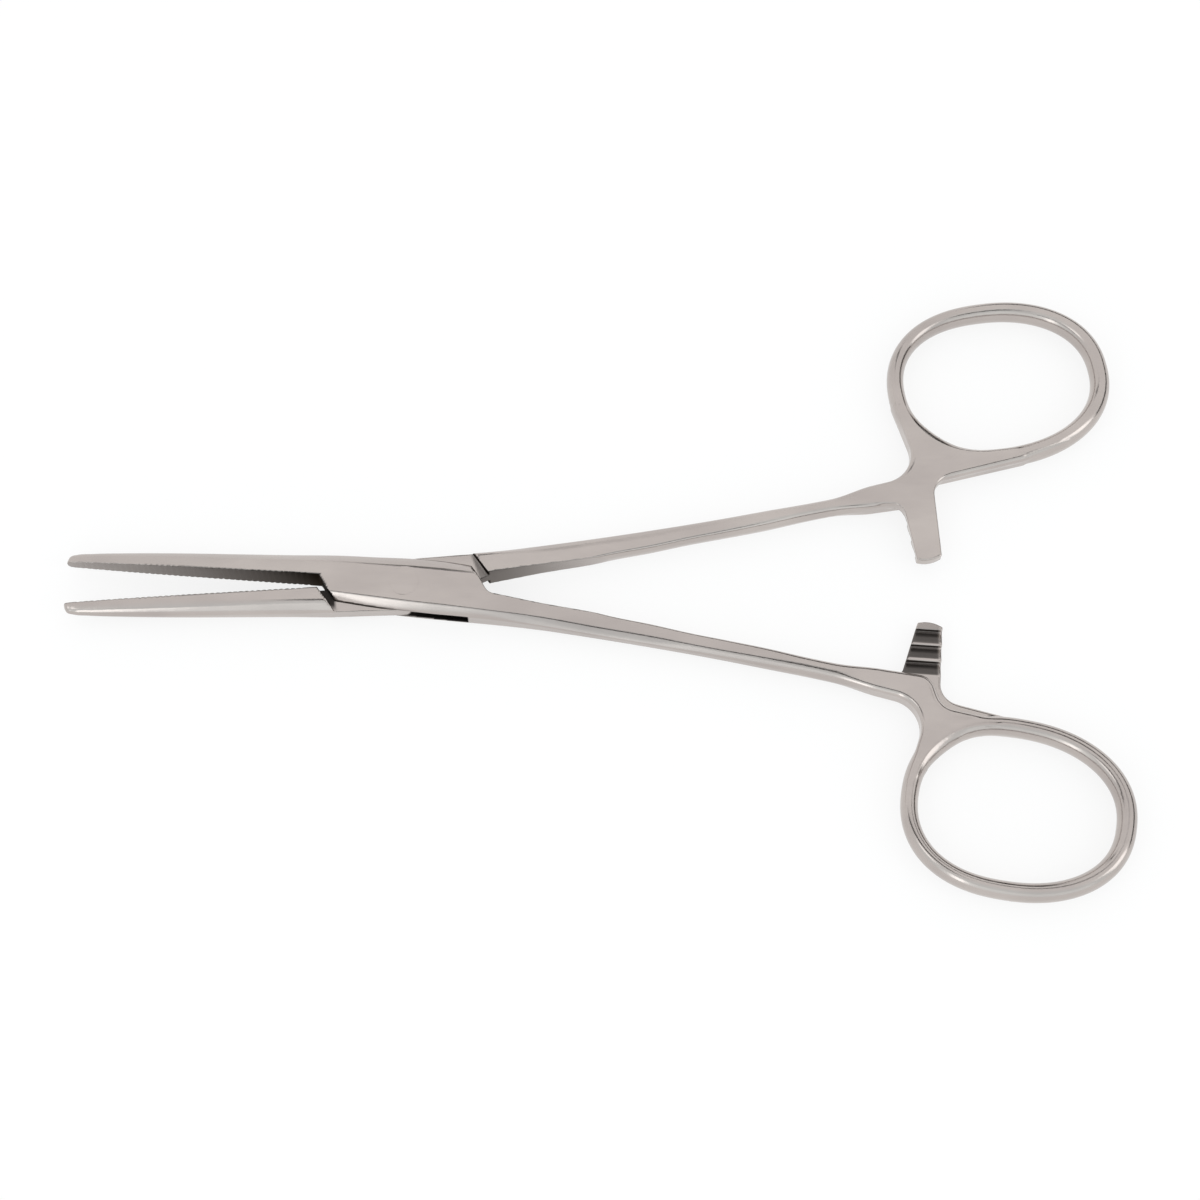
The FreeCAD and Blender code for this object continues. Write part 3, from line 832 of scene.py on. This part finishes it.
def satin_stainless_steel(name, colour, cut_shade_colour):
    """Forged martensitic stainless steel, ground and then polished to a satin sheen along its
    length. It gives the eye soft, stretched highlights with faint lengthwise lines, and the
    serrations and ratchet slopes, left as cut, look duller, and darker with painted shade."""
    material, tree = empty_material(name)
    place = add_node(tree, "ShaderNodeTexCoord").outputs["Object"]
    lines = stretched_noise(tree, place, LINE_SCALE, 3.0, 0.6)
    cloud = stretched_noise(tree, place, CLOUD_SCALE, 4.0, 0.55)
    cloud = add_node(tree, "ShaderNodeMapRange",
                     inputs={"From Min": NOISE_LOW, "From Max": NOISE_HIGH},
                     links={"Value": cloud}).outputs["Result"]
    # Share of the cut finish at each vertex; the darker colour it brings is painted shade
    cut = add_node(tree, "ShaderNodeAttribute", {"attribute_name": "cut_finish_and_shade"}).outputs["Fac"]
    tint = add_node(tree, "ShaderNodeMix", {"data_type": "RGBA"},
                    {"A": linear(colour), "B": linear(CLOUD_COLOUR)},
                    {"Factor": cloud}).outputs["Result"]
    colours = add_node(tree, "ShaderNodeMix", {"data_type": "RGBA"}, {"B": linear(cut_shade_colour)},
                       {"Factor": cut, "A": tint}).outputs["Result"]
    sheen = add_node(tree, "ShaderNodeMapRange",
                     inputs={"From Min": NOISE_LOW, "From Max": NOISE_HIGH,
                             "To Min": POLISHED_ROUGHNESS[0], "To Max": POLISHED_ROUGHNESS[1]},
                     links={"Value": lines}).outputs["Result"]
    rough = add_node(tree, "ShaderNodeMix", {"data_type": "FLOAT"}, {"B": CUT_ROUGHNESS},
                     {"Factor": cut, "A": sheen}).outputs["Result"]
    bump = add_node(tree, "ShaderNodeBump",
                    inputs={"Strength": LINE_BUMP_STRENGTH, "Distance": LINE_DEPTH},
                    links={"Height": lines}).outputs["Normal"]
    # What is left of the mirror shine at grazing angles, dimmed on the cut faces as painted shade
    edge = add_node(tree, "ShaderNodeMix", {"data_type": "RGBA"},
                    {"A": linear("#FFFFFF"), "B": linear(CUT_SHADE_EDGE_TINT)},
                    {"Factor": cut}).outputs["Result"]
    steel = add_node(tree, "ShaderNodeBsdfPrincipled", inputs={"Metallic": 1.0},
                     links={"Base Color": colours, "Roughness": rough, "Normal": bump,
                            "Specular Tint": edge})
    add_node(tree, "ShaderNodeOutputMaterial", links={"Surface": steel.outputs["BSDF"]})
    return material


def seen_rays(tree):
    """1 for rays from the camera, from a mirror and through glass, and 0 for the rest."""
    path = add_node(tree, "ShaderNodeLightPath")
    seen = add_node(tree, "ShaderNodeMath", {"operation": "MAXIMUM"},
                    links={0: path.outputs["Is Camera Ray"], 1: path.outputs["Is Glossy Ray"]})
    return add_node(tree, "ShaderNodeMath", {"operation": "MAXIMUM"},
                    links={0: seen.outputs[0], 1: path.outputs["Is Transmission Ray"]}).outputs[0]


def pale_floor(colour):
    """Back-lit white studio paper. It looks white and keeps a faint soft shadow of the object."""
    material, tree = empty_material("studio_paper")
    share = add_node(tree, "ShaderNodeMath", {"operation": "MULTIPLY"}, {1: FLOOR_GLOW},
                     {0: seen_rays(tree)}).outputs[0]
    paper = add_node(tree, "ShaderNodeBsdfPrincipled",
                     inputs={"Base Color": linear(colour),
                             "Roughness": FLOOR_ROUGHNESS}).outputs["BSDF"]
    glow = add_node(tree, "ShaderNodeEmission", inputs={"Strength": 1.0}).outputs["Emission"]
    floor = add_node(tree, "ShaderNodeMixShader", links={0: share, 1: paper, 2: glow})
    add_node(tree, "ShaderNodeOutputMaterial", links={"Surface": floor.outputs["Shader"]})
    return material


def dark_card():
    """Black studio felt, which only the steel sees, as thin dark lines along its edges."""
    material, tree = empty_material("studio_felt")
    felt = add_node(tree, "ShaderNodeBsdfPrincipled",
                    inputs={"Base Color": linear(FELT_COLOUR), "Roughness": FELT_ROUGHNESS})
    add_node(tree, "ShaderNodeOutputMaterial", links={"Surface": felt.outputs["BSDF"]})
    return material


class ForcepsSettings(bpy.types.PropertyGroup):
    """Sizes and colours that a user would change."""

    steel_colour: bpy.props.StringProperty(
        name="Steel colour", description="Colour of the polished steel, sRGB hex",
        default="#C2BAB5")
    # Dark colour that paints the shade on the cut faces, together with their duller finish
    cut_shade_colour: bpy.props.StringProperty(
        name="Cut steel colour", description="Colour of the serrations and tooth slopes, sRGB hex",
        default="#363331")
    pin_segments: bpy.props.IntProperty(
        name="Pin segments", description="Faces round the pivot pin", default=96, min=24, max=256)


class StudioSettings(bpy.types.PropertyGroup):
    """Camera, floor and lamps."""

    camera_place: bpy.props.FloatVectorProperty(
        name="Camera place", description="Where the camera stands",
        default=(0.02622, -0.11303, 0.30846), size=3, subtype="XYZ", unit="LENGTH")
    camera_aim: bpy.props.FloatVectorProperty(
        name="Camera aim", description="Point in the middle of the picture",
        default=(0.025453, -0.001631, 0.0024), size=3, subtype="XYZ", unit="LENGTH")
    camera_turn: bpy.props.FloatProperty(
        name="Camera turn", description="Turn of the picture's level line about Z",
        default=math.radians(0.396), subtype="ANGLE", unit="ROTATION")
    focal_length: bpy.props.FloatProperty(
        name="Focal length", description="Focal length on a 36 mm sensor", default=74.9, min=10.0)
    floor_size: bpy.props.FloatProperty(
        name="Floor size", description="Side of the floor", default=6.0, unit="LENGTH")
    floor_colour: bpy.props.StringProperty(
        name="Floor colour", description="Colour of the floor, sRGB hex", default="#FCFCFC")


def build_half(name, settings):
    """Makes one half, puts it on its body and gives it its steel."""
    vertices, faces = contour(name)
    obj = make_object("forged_" + name, in_part_frame(vertices, name).tolist(), faces.tolist())
    obj.data.shade_smooth()
    # Share of the cut finish at each vertex, which also paints shade on the cut faces
    marks = obj.data.attributes.new("cut_finish_and_shade", "FLOAT", "POINT")
    marks.data.foreach_set("value", cut_and_shade_marks(name, vertices).astype(np.float32))
    obj.data.materials.append(satin_stainless_steel("satin_stainless_" + name,
                                                    settings.steel_colour, settings.cut_shade_colour))
    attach(obj, name)
    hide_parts(name)
    return obj


class FORCEPS_OT_female_half(bpy.types.Operator):
    """Forge the half with the two cheeks"""

    bl_idname = "forceps.female_half"
    bl_label = "Female half"

    def execute(self, context):
        build_half("female_half", context.scene.forceps)
        return {"FINISHED"}


class FORCEPS_OT_male_half(bpy.types.Operator):
    """Forge the half with the tongue"""

    bl_idname = "forceps.male_half"
    bl_label = "Male half"

    def execute(self, context):
        build_half("male_half", context.scene.forceps)
        return {"FINISHED"}


class FORCEPS_OT_pivot_pin(bpy.types.Operator):
    """Turn the pivot pin with its coned, flush ends"""

    bl_idname = "forceps.pivot_pin"
    bl_label = "Pivot pin"

    def execute(self, context):
        settings = context.scene.forceps
        profile = [
            (0, 0), (PIN_HEAD_RADIUS, 0), (PIN_RADIUS, PIN_HEAD_DEPTH),
            (PIN_RADIUS, THICKNESS - PIN_HEAD_DEPTH), (PIN_HEAD_RADIUS, THICKNESS), (0, THICKNESS),
        ]
        vertices, faces = lathe(profile, settings.pin_segments)
        obj = make_object("turned_pivot_pin", (vertices * MM).tolist(), faces)
        obj.data.shade_smooth()
        obj.data.set_sharp_from_angle(angle=math.radians(PIN_SHARP_ANGLE))
        obj.data.materials.append(satin_stainless_steel("satin_stainless_pin",
                                                        settings.steel_colour, settings.cut_shade_colour))
        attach(obj, "female_half")
        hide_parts("pivot_pin")
        return {"FINISHED"}


def lamp(name, place, aim, size, power):
    """Rectangular soft box that faces a point."""
    light = bpy.data.lights.new(name, "AREA")
    light.shape = "RECTANGLE"
    light.size, light.size_y = size
    light.energy = power
    obj = bpy.data.objects.new(name, light)
    obj.location = place
    obj.rotation_euler = (Vector(aim) - Vector(place)).to_track_quat("-Z", "Y").to_euler()
    bpy.context.scene.collection.objects.link(obj)
    return obj


def card(name, corners):
    """Flat dark card through four corners, seen by the steel and not by the camera."""
    obj = make_object(name, corners, [(0, 1, 2, 3)])
    obj.data.materials.append(dark_card())
    obj.visible_camera = False
    obj.visible_diffuse = False
    obj.visible_shadow = False
    return obj


class FORCEPS_OT_stage(bpy.types.Operator):
    """Set up the floor, the soft light and the camera"""

    bl_idname = "forceps.stage"
    bl_label = "Studio"

    def execute(self, context):
        studio = context.scene.forceps_studio
        scene = context.scene
        scene.view_settings.view_transform = "Standard"
        self.floor(studio)
        self.world(scene)
        self.lamps()
        self.camera(scene, studio)
        return {"FINISHED"}

    def floor(self, studio):
        """Square of paper at height 0, under the forceps."""
        side = studio.floor_size / 2
        corners = [(-side, -side, 0), (side, -side, 0), (side, side, 0), (-side, side, 0)]
        floor = make_object("floor", corners, [(0, 1, 2, 3)])
        floor.data.materials.append(pale_floor(studio.floor_colour))

    def world(self, scene):
        """White surroundings, a little cooler in front."""
        world = bpy.data.worlds.new("studio_white")
        world.use_nodes = True
        tree = world.node_tree
        tree.nodes.clear()
        place = add_node(tree, "ShaderNodeTexCoord").outputs["Generated"]
        away = add_node(tree, "ShaderNodeSeparateXYZ", links={"Vector": place}).outputs["Y"]
        share = add_node(tree, "ShaderNodeMapRange",
                         inputs={"From Min": FRONT_SKY_Y[0], "From Max": FRONT_SKY_Y[1]},
                         links={"Value": away}).outputs["Result"]
        # Cool daylight from a window in front, white light from the rest of the room
        tint = add_node(tree, "ShaderNodeMix", {"data_type": "RGBA"},
                        {"A": linear(FRONT_SKY_COLOUR), "B": linear("#FFFFFF")}, {"Factor": share})
        sky = add_node(tree, "ShaderNodeBackground", inputs={"Strength": 1.0},
                       links={"Color": tint.outputs["Result"]})
        add_node(tree, "ShaderNodeOutputWorld", links={"Surface": sky.outputs["Background"]})
        scene.world = world

    def lamps(self):
        """Soft boxes for the light patches on the bevels, and cards for the dark lines."""
        for settings in LAMPS:
            lamp(*settings)
        for name, corners in CARDS.items():
            card(name, corners)

    def camera(self, scene, studio):
        """Camera that fits the photo: place, aim and the turn of its level line."""
        place, aim = Vector(studio.camera_place), Vector(studio.camera_aim)
        right = Vector((math.cos(studio.camera_turn), math.sin(studio.camera_turn), 0))
        back = (place - aim).normalized()
        up = back.cross(right).normalized()
        right = up.cross(back)
        camera = bpy.data.objects.new("camera", bpy.data.cameras.new("camera"))
        camera.data.sensor_width = SENSOR_WIDTH
        camera.data.lens = studio.focal_length
        camera.data.clip_start = CLIP_START
        turn = Matrix((right, up, back)).transposed().to_4x4()
        camera.matrix_world = Matrix.Translation(place) @ turn
        scene.collection.objects.link(camera)
        scene.camera = camera


class FORCEPS_PT_panel(bpy.types.Panel):
    """Lists the pieces and their settings"""

    bl_idname = "FORCEPS_PT_panel"
    bl_label = "Forceps"
    bl_space_type = "VIEW_3D"
    bl_region_type = "UI"
    bl_category = "Forceps"

    def draw(self, context):
        layout = self.layout
        for group in (context.scene.forceps, context.scene.forceps_studio):
            for name in group.__annotations__:
                layout.prop(group, name)
        for operator in OPERATORS:
            layout.operator(operator.bl_idname)


OPERATORS = (FORCEPS_OT_female_half, FORCEPS_OT_male_half, FORCEPS_OT_pivot_pin, FORCEPS_OT_stage)
CLASSES = (ForcepsSettings, StudioSettings) + OPERATORS + (FORCEPS_PT_panel,)


def register():
    for cls in CLASSES:
        bpy.utils.register_class(cls)
    bpy.types.Scene.forceps = bpy.props.PointerProperty(type=ForcepsSettings)
    bpy.types.Scene.forceps_studio = bpy.props.PointerProperty(type=StudioSettings)


def unregister():
    del bpy.types.Scene.forceps_studio
    del bpy.types.Scene.forceps
    for cls in reversed(CLASSES):
        bpy.utils.unregister_class(cls)


def main():
    register()
    bpy.ops.forceps.female_half()
    bpy.ops.forceps.male_half()
    bpy.ops.forceps.pivot_pin()
    bpy.ops.forceps.stage()


if __name__ == "__main__":
    main()
